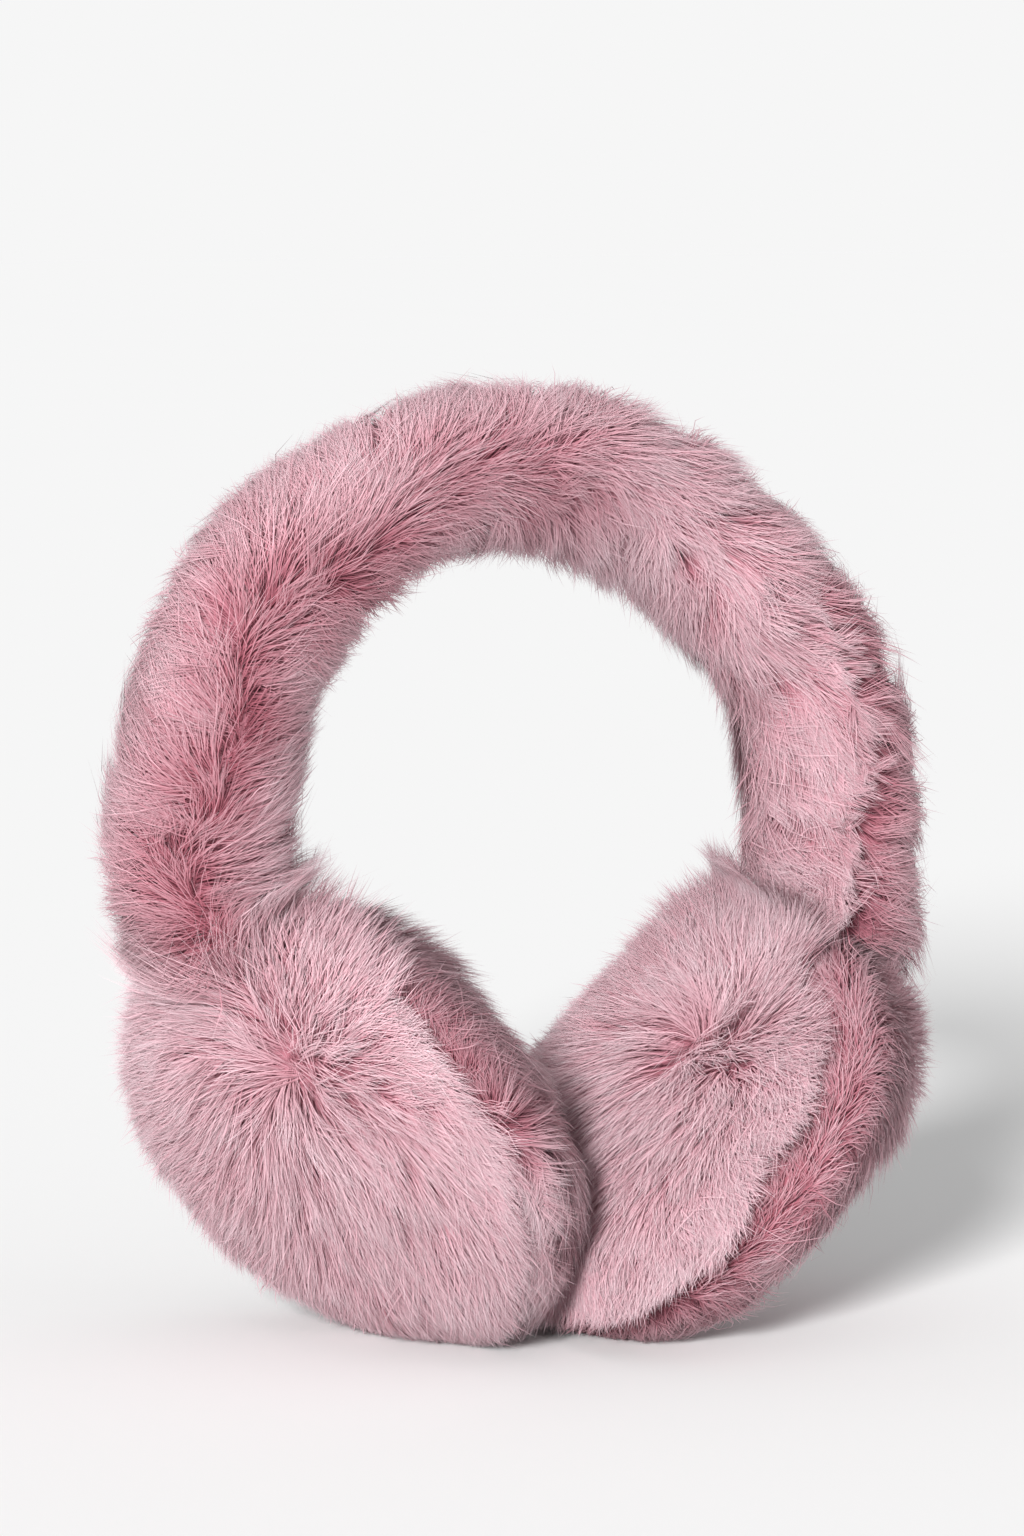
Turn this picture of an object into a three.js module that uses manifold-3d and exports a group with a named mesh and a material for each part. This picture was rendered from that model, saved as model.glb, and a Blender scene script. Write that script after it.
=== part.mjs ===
// Fur earmuffs standing on their two cups. Millimetres, +Z up, the head goes through along Y.
// The band is a padded fur sleeve that arches from cup to cup. Each cup is two fur domes that meet
// at a seam. The outer form of the fur is in locks that grow from each backing and are fused to it.

import * as THREE from 'three';
import { mergeVertices } from 'three/addons/utils/BufferGeometryUtils.js';
import Module from 'manifold-3d';

const wasm = await Module();
wasm.setup();

// Band: its centreline is an arch on two legs, and its sleeve is an oval tube
const bandHalfWidth = 81;
const bandRise = 80;
const bandLegLength = 45;
const bandFootAboveRoot = 18;
const bandLegSplay = 10;
const bandRootInsideCup = 20;
const bandLegWidth = 51;
const bandTopWidth = 46;
const bandDepth = 58;

// Cups: the size over the fur, and how square the rim is, where 2 would be an ellipse
const cupDiameter = 127;
const cupThickness = 62;
const cupFullness = 2.4;
const cupStagger = 7;
const cupSinkIntoFloor = 3;

// Fur: how deep it stands on the backing, and the size of a full lock
const furDepth = 5;
const lockLength = 36;
const lockWidth = 18;
const lockThickness = 6.5;
const lockSpread = { least: 0.8, more: 0.35 };
const cupLockCrowding = 5.6;
const bandRowSpacing = 0.75 * lockLength;
const bandLockSpacing = 1.15 * lockWidth;

// Clearance between any two pieces that touch
const touchGap = 0.3;

// Fineness of the backings
const bandStations = 22;
const bandSides = 12;
const domeRings = 5;
const domeSides = 20;
const cutterSize = 1000;

// Each cup's lean of its top away from the head and turn about the vertical, in degrees, the share by
// which the band's shoulder over it is pulled in, and where the fur parts on each of its two faces,
// as shares of the cup's radius to the side and up.
const cups = [
  { side: 'left', sign: -1, lean: 28, turn: 20, shoulder: -0.02,
    whorls: { outer: [0.20, 0.38], inner: [0.00, 0.20] } },
  { side: 'right', sign: 1, lean: 38, turn: 9, shoulder: 0.05,
    whorls: { outer: [0.00, 0.20], inner: [-0.25, -0.10] } },
];

// Girth of the band from the left cup, at 0, to the right cup, at 1: the share of the way from the
// leg's width to the top's width, and the share of the full girth.
const bandGirth = [
  { at: 0.00, top: 0.00, girth: 0.66 },
  { at: 0.14, top: 0.00, girth: 1.00 },
  { at: 0.30, top: 0.10, girth: 1.00 },
  { at: 0.50, top: 1.00, girth: 0.97 },
  { at: 0.70, top: 0.15, girth: 0.99 },
  { at: 0.86, top: 0.00, girth: 1.00 },
  { at: 1.00, top: 0.00, girth: 0.66 },
];

// How the fur lies on the band: along it towards the right cup, and away from the parting that runs
// down its front, at this angle round the tube from its outer side.
const bandParting = 100;
const bandLie = [
  { at: 0.00, along: -0.45, away: 0.9 },
  { at: 0.30, along: -0.25, away: 1.0 },
  { at: 0.50, along: 0.35, away: 0.9 },
  { at: 0.62, along: 1.00, away: 0.4 },
  { at: 1.00, along: 1.00, away: 0.3 },
];
const bandEnd = 0.16;

// A lock from its root inside the backing to its tip: shares of its length, of the fur's depth and of
// its girth, and its section as shares of its width and thickness.
const lockRings = [
  { along: 0.00, lift: -0.60, girth: 0.7 },
  { along: 0.36, lift: 0.25, girth: 1.0 },
];
const lockTip = { along: 1, lift: 0.55 };
const lockSection = [[-0.5, -0.3], [0, 0.5], [0.5, -0.3]];

const furColour = 0xc98f9d;
const furRoughness = 0.95;
const up = new THREE.Vector3(0, 0, 1);
const backwards = new THREE.Vector3(0, 1, 0);
const goldenAngle = Math.PI * (3 - Math.sqrt(5));

// Solids

// Even draws between 0 and 1 that come out the same each time.
function seededDraws(seed) {
  let state = seed;
  return () => {
    state = (state * 1664525 + 1013904223) % 4294967296;
    return state / 4294967296;
  };
}

function toSolid(geometry) {
  geometry.deleteAttribute('normal');
  geometry.deleteAttribute('uv');
  const merged = mergeVertices(geometry, 1e-4);
  return new wasm.Manifold(new wasm.Mesh({
    numProp: 3,
    vertProperties: Float32Array.from(merged.attributes.position.array),
    triVerts: Uint32Array.from(merged.index.array),
  }));
}

function toMesh(solid, name) {
  const { vertProperties, triVerts } = solid.getMesh();
  const geometry = new THREE.BufferGeometry();
  geometry.setAttribute('position', new THREE.BufferAttribute(vertProperties, 3));
  geometry.setIndex(new THREE.BufferAttribute(triVerts, 1));
  geometry.computeVertexNormals();
  const fur = new THREE.MeshStandardMaterial({ color: furColour, roughness: furRoughness, metalness: 0 });
  const mesh = new THREE.Mesh(geometry, fur);
  mesh.name = name;
  return mesh;
}

// A closed skin over rings of equally many points, with a fan to a point at each end. The rings may
// run either way round, so the faces are turned over where they would point in.
function loft(rings, firstPoint, lastPoint) {
  const count = rings[0].length;
  const points = [firstPoint, ...rings.flat(), lastPoint];
  const last = points.length - 1;
  const faces = [];
  for (let side = 0; side < count; side += 1) {
    const next = (side + 1) % count;
    faces.push(0, 1 + next, 1 + side);
    faces.push(last, last - count + side, last - count + next);
    for (let ring = 0; ring < rings.length - 1; ring += 1) {
      const a = 1 + ring * count;
      const b = a + count;
      faces.push(a + side, a + next, b + next, a + side, b + next, b + side);
    }
  }
  const places = points.flatMap((point) => point.toArray());
  const geometry = new THREE.BufferGeometry();
  geometry.setAttribute('position', new THREE.Float32BufferAttribute(places, 3));
  geometry.setIndex(faces);
  const solid = toSolid(geometry);
  if (solid.volume() > 0) return solid;
  geometry.setIndex(faces.reverse());
  return toSolid(geometry);
}

// All the space on the far side of a plane.
function halfSpace(point, direction) {
  const box = new THREE.BoxGeometry(cutterSize, cutterSize, cutterSize);
  box.translate(0, 0, cutterSize / 2);
  box.applyQuaternion(new THREE.Quaternion().setFromUnitVectors(up, direction));
  box.translate(point.x, point.y, point.z);
  return toSolid(box);
}

function joinAll(solids) {
  let joined = solids;
  while (joined.length > 1) {
    const pairs = [];
    for (let i = 0; i < joined.length; i += 2) {
      pairs.push(i + 1 < joined.length ? joined[i].add(joined[i + 1]) : joined[i]);
    }
    joined = pairs;
  }
  return joined[0];
}

// The body inside its outer skin: pockets shut in between crossing locks are filled.
function outerSkin(solid) {
  return solid.decompose().reduce((most, piece) => (piece.volume() > most.volume() ? piece : most));
}

// The two rows of a table on either side of a place, and the smooth share of the way between them.
function between(table, at) {
  const next = Math.max(1, table.findIndex((row) => row.at >= at));
  const [low, high] = [table[next - 1], table[next]];
  const share = THREE.MathUtils.smoothstep(at, low.at, high.at);
  return (column) => THREE.MathUtils.lerp(low[column], high[column], share);
}

// One lock of fur. It runs from its root along the flow, and hug lays each of its places on the backing.
function lock(root, flow, hug, scale) {
  const place = (row) => {
    const { point, outward } = hug(root.clone().addScaledVector(flow, lockLength * scale * row.along));
    return { centre: point.addScaledVector(outward, furDepth * row.lift), outward };
  };
  const rings = lockRings.map((row) => {
    const { centre, outward } = place(row);
    const across = new THREE.Vector3().crossVectors(outward, flow).normalize();
    return lockSection.map(([wide, high]) => centre.clone()
      .addScaledVector(across, wide * lockWidth * scale * row.girth)
      .addScaledVector(outward, high * lockThickness * scale * row.girth));
  });
  return loft(rings, place(lockRings[0]).centre, place(lockTip).centre);
}

// Cups

const backingRadius = cupDiameter / 2 - furDepth;
const backingHeight = cupThickness / 2 - furDepth;

// How far a cup's backing reaches from its centre in a direction.
function backingReach(axis, direction) {
  const high = Math.abs(direction.dot(axis));
  const out = Math.sqrt(1 - high * high);
  const power = cupFullness / (cupFullness - 1);
  return ((backingRadius * out) ** power + (backingHeight * high) ** power) ** (1 / power);
}

// A cup's own frame: axis points away from the head, rise up its face and side level across its face.
// Its backing just reaches the plane midway between the cups, and sinks a little into the floor,
// where the fur is pressed flat.
function cupFrame({ sign, lean, turn }) {
  const [leaning, turned] = [lean, turn].map(THREE.MathUtils.degToRad);
  const axis = new THREE.Vector3(sign * Math.cos(turned), sign * Math.sin(turned), 0)
    .multiplyScalar(Math.cos(leaning)).addScaledVector(up, -Math.sin(leaning));
  const rise = up.clone().addScaledVector(axis, -up.dot(axis)).normalize();
  const side = new THREE.Vector3().crossVectors(rise, axis);
  const inwards = new THREE.Vector3(-sign, 0, 0);
  const centre = new THREE.Vector3(sign * backingReach(axis, inwards), -sign * cupStagger,
    backingReach(axis, up) - cupSinkIntoFloor);
  return { centre, axis, rise, side };
}

const frames = cups.map(cupFrame);

// The point of a dome at an angle from its apex and a bearing round it. It is grown outwards by growth.
function domePoint(frame, facing, growth, angle, bearing) {
  const power = 2 / cupFullness;
  const out = (backingRadius + growth) * Math.sin(angle) ** power;
  const high = (backingHeight + growth) * Math.cos(angle) ** power;
  return frame.centre.clone()
    .addScaledVector(frame.side, out * Math.cos(bearing))
    .addScaledVector(frame.rise, out * Math.sin(bearing))
    .addScaledVector(frame.axis, facing * high);
}

function dome(frame, facing, growth) {
  const rings = [];
  for (let ring = 1; ring <= domeRings; ring += 1) {
    const angle = ring / domeRings * Math.PI / 2;
    const points = [];
    for (let side = 0; side < domeSides; side += 1) {
      points.push(domePoint(frame, facing, growth, angle, side / domeSides * 2 * Math.PI));
    }
    rings.push(points);
  }
  return loft(rings, domePoint(frame, facing, growth, 0, 0), frame.centre.clone());
}

// The place on a cup's backing straight out from its centre through a point, and the way out there.
function hugCup(frame, point) {
  const from = point.clone().sub(frame.centre);
  const high = from.dot(frame.axis);
  const out = from.clone().addScaledVector(frame.axis, -high);
  const size = ((out.length() / backingRadius) ** cupFullness
    + Math.abs(high / backingHeight) ** cupFullness) ** (1 / cupFullness);
  const outward = out.divideScalar(backingRadius ** 2)
    .addScaledVector(frame.axis, high / backingHeight ** 2).normalize();
  return { point: frame.centre.clone().addScaledVector(from, 1 / size), outward };
}

// Locks spread evenly over one face, all lying away from its whorl.
function domeLocks(frame, facing, whorl, draw) {
  const count = Math.round(cupLockCrowding * (cupDiameter / 2) ** 2 / (lockLength * lockWidth));
  const middle = frame.centre.clone()
    .addScaledVector(frame.side, whorl[0] * cupDiameter / 2)
    .addScaledVector(frame.rise, whorl[1] * cupDiameter / 2)
    .addScaledVector(frame.axis, facing * cupThickness / 2);
  const hug = (point) => hugCup(frame, point);
  const locks = [];
  for (let i = 0; i < count; i += 1) {
    const angle = Math.asin(Math.sqrt((i + 0.5) / (count + 1)));
    const { point: root, outward } = hug(domePoint(frame, facing, 0, angle, i * goldenAngle));
    const flow = root.clone().sub(middle);
    flow.addScaledVector(outward, -flow.dot(outward)).normalize();
    locks.push(lock(root, flow, hug, lockSpread.least + lockSpread.more * draw()));
  }
  return joinAll(locks);
}

// Band

// From its root inside one cup the centreline runs out to a foot, up a leg, over the arch and back.
function bandCurve() {
  const roots = frames.map((frame) => frame.centre.clone()
    .addScaledVector(frame.rise, cupDiameter / 2 - bandRootInsideCup));
  const feet = cups.map(({ sign }, index) => new THREE.Vector3(
    sign * bandHalfWidth, -sign * bandLegSplay, roots[index].z + bandFootAboveRoot));
  const archHeight = (roots[0].z + roots[1].z) / 2 + bandLegLength;
  const arch = [];
  for (let step = -4; step <= 4; step += 1) {
    const turn = step / 4 * Math.PI / 2;
    const { shoulder } = cups[step < 0 ? 0 : 1];
    const reach = 1 - shoulder * Math.sin(2 * turn) ** 2;
    arch.push(new THREE.Vector3(
      bandHalfWidth * reach * Math.sin(turn),
      -bandLegSplay * Math.sin(turn) ** 3,
      archHeight + bandRise * reach * Math.cos(turn)));
  }
  return new THREE.CatmullRomCurve3([roots[0], feet[0], ...arch, feet[1], roots[1]], false, 'centripetal');
}

const bandLine = bandCurve();

function girthAt(at) {
  const row = between(bandGirth, at);
  return {
    outer: row('girth') * THREE.MathUtils.lerp(bandLegWidth, bandTopWidth, row('top')) / 2 - furDepth,
    front: row('girth') * bandDepth / 2 - furDepth,
  };
}

// The two directions of the band's section: outer away from the head space, front towards -Y.
function bandFrame(at) {
  const along = bandLine.getTangentAt(at);
  const outer = along.clone().cross(backwards).normalize();
  const front = new THREE.Vector3().crossVectors(along, outer);
  return { along, outer, front };
}

function bandPoint(at, angle, growth) {
  const girth = girthAt(at);
  const { outer, front } = bandFrame(at);
  return bandLine.getPointAt(at)
    .addScaledVector(outer, (girth.outer + growth) * Math.cos(angle))
    .addScaledVector(front, (girth.front + growth) * Math.sin(angle));
}

function bandTube(growth) {
  const rings = [];
  for (let station = 0; station <= bandStations; station += 1) {
    const ring = [];
    for (let side = 0; side < bandSides; side += 1) {
      ring.push(bandPoint(station / bandStations, side / bandSides * 2 * Math.PI, growth));
    }
    rings.push(ring);
  }
  return loft(rings, bandLine.getPointAt(0), bandLine.getPointAt(1));
}

// The place on the band's backing level with a point that lies near a known place along the band.
function hugBand(point, at) {
  const share = point.clone().sub(bandLine.getPointAt(at)).dot(bandLine.getTangentAt(at))
    / bandLine.getLength();
  const there = THREE.MathUtils.clamp(at + share, 0, 1);
  const { outer, front } = bandFrame(there);
  const girth = girthAt(there);
  const from = point.clone().sub(bandLine.getPointAt(there));
  const angle = Math.atan2(from.dot(front) / girth.front, from.dot(outer) / girth.outer);
  const onBacking = bandPoint(there, angle, 0);
  return { point: onBacking, outward: bandPoint(there, angle, furDepth).sub(onBacking).normalize() };
}

// Locks in staggered rows round the band. Near its ends they are trimmed to the sleeve's full girth,
// so that the cups can be cut clear of them.
function bandLocks(sleeve, draw) {
  const rows = Math.round(bandLine.getLength() / bandRowSpacing);
  const inRow = Math.round(Math.PI * (bandLegWidth + bandDepth) / 2 / bandLockSpacing);
  const parting = THREE.MathUtils.degToRad(bandParting);
  const atEnds = [];
  const onArch = [];
  for (let row = 1; row < rows; row += 1) {
    const at = row / rows;
    const lie = between(bandLie, at);
    const hug = (point) => hugBand(point, at);
    for (let i = 0; i < inRow; i += 1) {
      const angle = (i + (row % 2) / 2 + draw() / 3) / inRow * 2 * Math.PI;
      const root = bandPoint(at, angle, 0);
      const around = bandPoint(at, angle + 0.01, 0).sub(root).normalize();
      const flow = bandLine.getTangentAt(at).multiplyScalar(lie('along'))
        .addScaledVector(around, lie('away') * Math.sin(angle - parting)).normalize();
      const list = Math.min(at, 1 - at) < bandEnd ? atEnds : onArch;
      list.push(lock(root, flow, hug, lockSpread.least + lockSpread.more * draw()));
    }
  }
  return joinAll(onArch).add(joinAll(atEnds).intersect(sleeve));
}

// Assembly

const earmuffs = new THREE.Group();

const wholeBand = bandTube(0).add(bandLocks(bandTube(furDepth), seededDraws(7)));
const cupRoom = frames.map((frame) => dome(frame, 1, touchGap).add(dome(frame, -1, touchGap)));
earmuffs.add(toMesh(outerSkin(wholeBand.subtract(cupRoom[0]).subtract(cupRoom[1])), 'band'));

const bandRoom = bandTube(furDepth + touchGap);
const floor = halfSpace(new THREE.Vector3(0, 0, 0), up.clone().negate());
cups.forEach(({ side, sign, whorls }, index) => {
  const frame = frames[index];
  const otherCup = halfSpace(new THREE.Vector3(sign * touchGap / 2, 0, 0), new THREE.Vector3(-sign, 0, 0));
  for (const [half, facing] of [['outer', 1], ['inner', -1]]) {
    const fur = domeLocks(frame, facing, whorls[half], seededDraws(11 + index * 2 + facing));
    const otherHalf = halfSpace(
      frame.centre.clone().addScaledVector(frame.axis, facing * touchGap / 2),
      frame.axis.clone().multiplyScalar(-facing));
    const solid = dome(frame, facing, 0).add(fur.subtract(bandRoom))
      .subtract(otherHalf).subtract(otherCup).subtract(floor);
    earmuffs.add(toMesh(outerSkin(solid), `${side}_cup_${half}`));
  }
});

export default earmuffs;
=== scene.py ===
# %% [markdown]
# # Fur earmuffs
# The real thing is a sprung band in a padded fur sleeve, with a round fur cup at each end. Here it stands
# on its two cups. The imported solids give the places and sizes. Everything that shows is made below:
# five stuffed skins under the fur, and the fur itself as fine tapered strands that grow from them.

# %% The frame and the tools
import math

import bpy
import numpy as np
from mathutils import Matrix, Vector
from mathutils.kdtree import KDTree


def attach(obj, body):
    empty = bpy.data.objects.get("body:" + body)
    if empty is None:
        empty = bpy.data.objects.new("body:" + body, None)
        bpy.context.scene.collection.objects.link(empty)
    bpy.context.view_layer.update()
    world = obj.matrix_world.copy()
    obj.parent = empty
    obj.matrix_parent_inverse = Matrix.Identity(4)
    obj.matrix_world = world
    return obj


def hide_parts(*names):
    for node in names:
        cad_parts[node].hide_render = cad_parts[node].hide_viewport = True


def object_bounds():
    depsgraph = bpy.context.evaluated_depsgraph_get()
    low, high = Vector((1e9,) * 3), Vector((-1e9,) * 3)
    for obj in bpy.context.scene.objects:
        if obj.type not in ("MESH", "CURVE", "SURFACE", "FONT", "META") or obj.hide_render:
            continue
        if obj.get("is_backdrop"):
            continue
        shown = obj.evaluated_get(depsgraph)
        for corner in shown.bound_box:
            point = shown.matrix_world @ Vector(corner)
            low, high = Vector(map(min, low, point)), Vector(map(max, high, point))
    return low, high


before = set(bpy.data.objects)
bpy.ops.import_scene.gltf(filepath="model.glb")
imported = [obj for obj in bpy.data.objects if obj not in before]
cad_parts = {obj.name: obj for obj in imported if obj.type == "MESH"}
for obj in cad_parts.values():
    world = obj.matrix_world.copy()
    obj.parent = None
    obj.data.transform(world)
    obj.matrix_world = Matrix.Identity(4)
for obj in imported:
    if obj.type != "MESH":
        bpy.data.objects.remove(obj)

cad_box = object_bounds()
MM = 0.001
print("nodes:", sorted(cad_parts))
print("size of the solids in mm:", [round((high - low) / MM, 1) for low, high in zip(*cad_box)])

# %% [markdown]
# ## Camera
# The photograph was taken from the front left, a little above the middle of the earmuffs, with a long
# lens. The lens is found from the real height of the frame, 368.6 mm at 1.4 m, so no zoom is guessed.
# The camera looks a little above the middle, as the photograph leaves more room over the band.

# %% The camera
VIEW_AZIMUTH = math.radians(-30)
VIEW_ELEVATION = math.radians(7)
VIEW_DISTANCE = 1.4
VIEW_MIDDLE = Vector((0, 0, 0.115))
FRAME_HEIGHT = 0.3686
AIM_ABOVE_MIDDLE = 0.0223
AIM_LEFT_OF_MIDDLE = 0.0024
SENSOR = 36

to_camera = Vector((
    math.sin(VIEW_AZIMUTH) * math.cos(VIEW_ELEVATION),
    -math.cos(VIEW_AZIMUTH) * math.cos(VIEW_ELEVATION),
    math.sin(VIEW_ELEVATION)))
view_right = Vector((math.cos(VIEW_AZIMUTH), math.sin(VIEW_AZIMUTH), 0))
view_up = to_camera.cross(view_right)
look_at = VIEW_MIDDLE + view_up * AIM_ABOVE_MIDDLE - view_right * AIM_LEFT_OF_MIDDLE

bpy.ops.object.select_all(action="DESELECT")
bpy.ops.object.camera_add(location=VIEW_MIDDLE + to_camera * VIEW_DISTANCE)
camera = bpy.context.object
camera.name = "camera"
camera.data.sensor_width = SENSOR
camera.data.lens = SENSOR * VIEW_DISTANCE / FRAME_HEIGHT
camera.rotation_euler = (look_at - camera.location).to_track_quat("-Z", "Y").to_euler()
bpy.context.scene.camera = camera
print("lens in mm:", round(camera.data.lens, 1))

# %% [markdown]
# ## The form of a cup
# A cup is a thick, slightly square cushion: two domes back to back. Its backing is a superellipsoid,
# written down once, so that the skin is shaped by it and every strand of fur can be laid on it.
# Each cup leans, and is turned a little about the vertical. The fur of its two halves parts beside the
# seam, on a wavy and slightly tilted line.

# %% Cup sizes and places
CUP_RADIUS = 58.5 * MM
CUP_HALF_HEIGHT = 26 * MM
CUP_FULLNESS = 2.4
CUP_STAGGER = 7 * MM
CUP_SINK = 3 * MM
CUP_LEAN_AND_TURN = {"left": (28, 20), "right": (38, 9)}
TOUCH_GAP = 0.3 * MM
SKIN_DEPTH = 6 * MM

# How far the parting lies outside the seam, its tilt, and the bearing of the tilt in degrees.
FUR_PARTING = {"left": (4 * MM, 0.16, 115), "right": (-12 * MM, -0.05, -45)}
# Waves of the parting: how many to a turn, where they start, and their height in millimetres.
PARTING_WAVES = ((5, 1, 1.3), (11, 0, 1.0))
# Single bends of the parting: their bearing and spread in radians, and their height in millimetres.
PARTING_BENDS = {"left": (), "right": ((-0.87, 0.25, -5), (-1.4, 0.6, -2.8))}


def unit(vectors):
    return vectors / np.maximum(np.linalg.norm(vectors, axis=-1, keepdims=True), 1e-12)


def dot(a, b):
    return (a * b).sum(-1, keepdims=True)


def smooth_step(share):
    share = np.clip(share, 0, 1)
    return share * share * (3 - 2 * share)


def backing_reach(axis, direction):
    """How far the backing of a cup with this axis reaches from its centre in a direction."""
    high = abs(float(direction @ axis))
    out = math.sqrt(1 - high * high)
    power = CUP_FULLNESS / (CUP_FULLNESS - 1)
    return ((CUP_RADIUS * out) ** power + (CUP_HALF_HEIGHT * high) ** power) ** (1 / power)


class Cup:
    """A cup's centre and its own directions: axis away from the head, rise up its face, side level."""

    def __init__(self, name, sign):
        lean, turn = (math.radians(angle) for angle in CUP_LEAN_AND_TURN[name])
        up = np.array((0, 0, 1.0))
        level = np.array((sign * math.cos(turn), sign * math.sin(turn), 0))
        self.sign = sign
        self.axis = level * math.cos(lean) - up * math.sin(lean)
        self.rise = unit(up - self.axis * (up @ self.axis))
        self.side = np.cross(self.rise, self.axis)
        self.centre = np.array((
            sign * backing_reach(self.axis, np.array((-sign, 0, 0))),
            -sign * CUP_STAGGER,
            backing_reach(self.axis, up) - CUP_SINK))
        shift, tilt, towards = FUR_PARTING[name]
        towards = math.radians(towards)
        self.parting = self.axis - tilt * (math.cos(towards) * self.rise + math.sin(towards) * self.side)
        self.parting_shift = shift
        self.bends = PARTING_BENDS[name]

    def from_centre(self, points):
        """Points seen from the centre: the way to them, its part along the axis, and the rest."""
        offset = points - self.centre
        high = offset @ self.axis
        return offset, high, offset - high[:, None] * self.axis

    def fullness(self, points):
        """How far out points are, where 1 is on the backing."""
        _, high, flat = self.from_centre(points)
        out = np.linalg.norm(flat, axis=1)
        return ((out / CUP_RADIUS) ** CUP_FULLNESS
                + np.abs(high / CUP_HALF_HEIGHT) ** CUP_FULLNESS) ** (1 / CUP_FULLNESS)

    def past_parting(self, points):
        """How far points are on the outer side of the wavy line where the fur of the halves parts."""
        offset = points - self.centre
        turn = np.arctan2(offset @ self.side, offset @ self.rise)
        wave = sum(height * np.sin(times * turn + start) for times, start, height in PARTING_WAVES)
        for middle, spread, bend in self.bends:
            wave = wave + bend * np.exp(-((turn - middle) / spread) ** 2)
        return offset @ self.parting - self.parting_shift - self.sign * wave * MM

    def hug(self, points):
        """The places on the backing straight out through points, and the way out there."""
        offset, high, flat = self.from_centre(points)
        outward = unit(flat / CUP_RADIUS ** 2 + np.outer(high / CUP_HALF_HEIGHT ** 2, self.axis))
        return self.centre + offset / self.fullness(points)[:, None], outward


cups = {name: Cup(name, sign) for name, sign in (("left", -1), ("right", 1))}
for name, cup in cups.items():
    print(name, "cup centre in mm:", np.round(cup.centre / MM, 1))

# %% [markdown]
# ## The form of the band
# The band is an oval tube round a smooth line from cup to cup. The line runs out of one cup to a foot,
# up a leg, over the arch and down again. It is found once, in even steps of length, and any place on
# the tube is then a share of the way along, an angle round and a height over the backing.

# %% Band sizes and centreline
BAND_HALF_WIDTH = 81 * MM
BAND_RISE = 80 * MM
BAND_LEG_LENGTH = 45 * MM
BAND_FOOT_ABOVE_ROOT = 18 * MM
BAND_LEG_SPLAY = 10 * MM
BAND_ROOT_BELOW_RIM = (127 / 2 - 20) * MM
BAND_LEG_WIDTH = 51 * MM
BAND_TOP_WIDTH = 46 * MM
BAND_DEPTH = 58 * MM
BAND_FUR = 5 * MM
SHOULDERS = {-1: -0.02, 1: 0.05}
BAND_STEPS = 400
ARCH_KNOTS = 4
CURVE_POINTS = 60
# The share along the band, how much of its top width it has there, and its girth.
BAND_GIRTH = np.array([
    (0.00, 0.00, 0.66), (0.14, 0.00, 1.00), (0.30, 0.10, 1.00), (0.50, 1.00, 0.97),
    (0.70, 0.15, 0.99), (0.86, 0.00, 1.00), (1.00, 0.00, 0.66)])


def eased(table, at, column):
    """A column of a table whose first column is the place, with a smooth step between rows."""
    row = np.clip(np.searchsorted(table[:, 0], at) - 1, 0, len(table) - 2)
    share = smooth_step((at - table[row, 0]) / (table[row + 1, 0] - table[row, 0]))
    return table[row, column] * (1 - share) + table[row + 1, column] * share


def band_knots():
    """The points that the band's line goes through: root, foot, arch, foot and root."""
    roots = {cup.sign: cup.centre + cup.rise * BAND_ROOT_BELOW_RIM for cup in cups.values()}
    feet = {sign: np.array((sign * BAND_HALF_WIDTH, -sign * BAND_LEG_SPLAY, root[2] + BAND_FOOT_ABOVE_ROOT))
            for sign, root in roots.items()}
    height = (roots[-1][2] + roots[1][2]) / 2 + BAND_LEG_LENGTH
    arch = []
    for step in range(-ARCH_KNOTS, ARCH_KNOTS + 1):
        turn = step / ARCH_KNOTS * math.pi / 2
        reach = 1 - SHOULDERS[-1 if step < 0 else 1] * math.sin(2 * turn) ** 2
        arch.append((BAND_HALF_WIDTH * reach * math.sin(turn), -BAND_LEG_SPLAY * math.sin(turn) ** 3,
                     height + BAND_RISE * reach * math.cos(turn)))
    return np.array([roots[-1], feet[-1], *arch, feet[1], roots[1]])


def smooth_line(knots, steps):
    """Even steps along a smooth line through the knots, made of cubic pieces, and its length."""
    ends = np.vstack([2 * knots[0] - knots[1], knots, 2 * knots[-1] - knots[-2]])
    pieces = []
    for a, b, c, d in zip(ends, ends[1:], ends[2:], ends[3:]):
        ab, bc, cd = (math.sqrt(np.linalg.norm(q - p)) for p, q in ((a, b), (b, c), (c, d)))
        leave = ((b - a) / ab - (c - a) / (ab + bc) + (c - b) / bc) * bc
        reach = ((c - b) / bc - (d - b) / (bc + cd) + (d - c) / cd) * bc
        t = np.linspace(0, 1, CURVE_POINTS, endpoint=False)[:, None]
        pieces.append(b + leave * t + (3 * (c - b) - 2 * leave - reach) * t ** 2
                      + (2 * (b - c) + leave + reach) * t ** 3)
    line = np.vstack([*pieces, knots[-1:]])
    travelled = np.concatenate([[0], np.cumsum(np.linalg.norm(np.diff(line, axis=0), axis=1))])
    even = np.linspace(0, travelled[-1], steps + 1)
    return np.stack([np.interp(even, travelled, line[:, i]) for i in range(3)], 1), travelled[-1]


band_line, BAND_LENGTH = smooth_line(band_knots(), BAND_STEPS)
band_along = unit(np.gradient(band_line, axis=0))
band_outer = unit(np.cross(band_along, (0, 1, 0)))
band_front = np.cross(band_along, band_outer)
print("length of the band's centreline in mm:", round(BAND_LENGTH / MM, 1))


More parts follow.
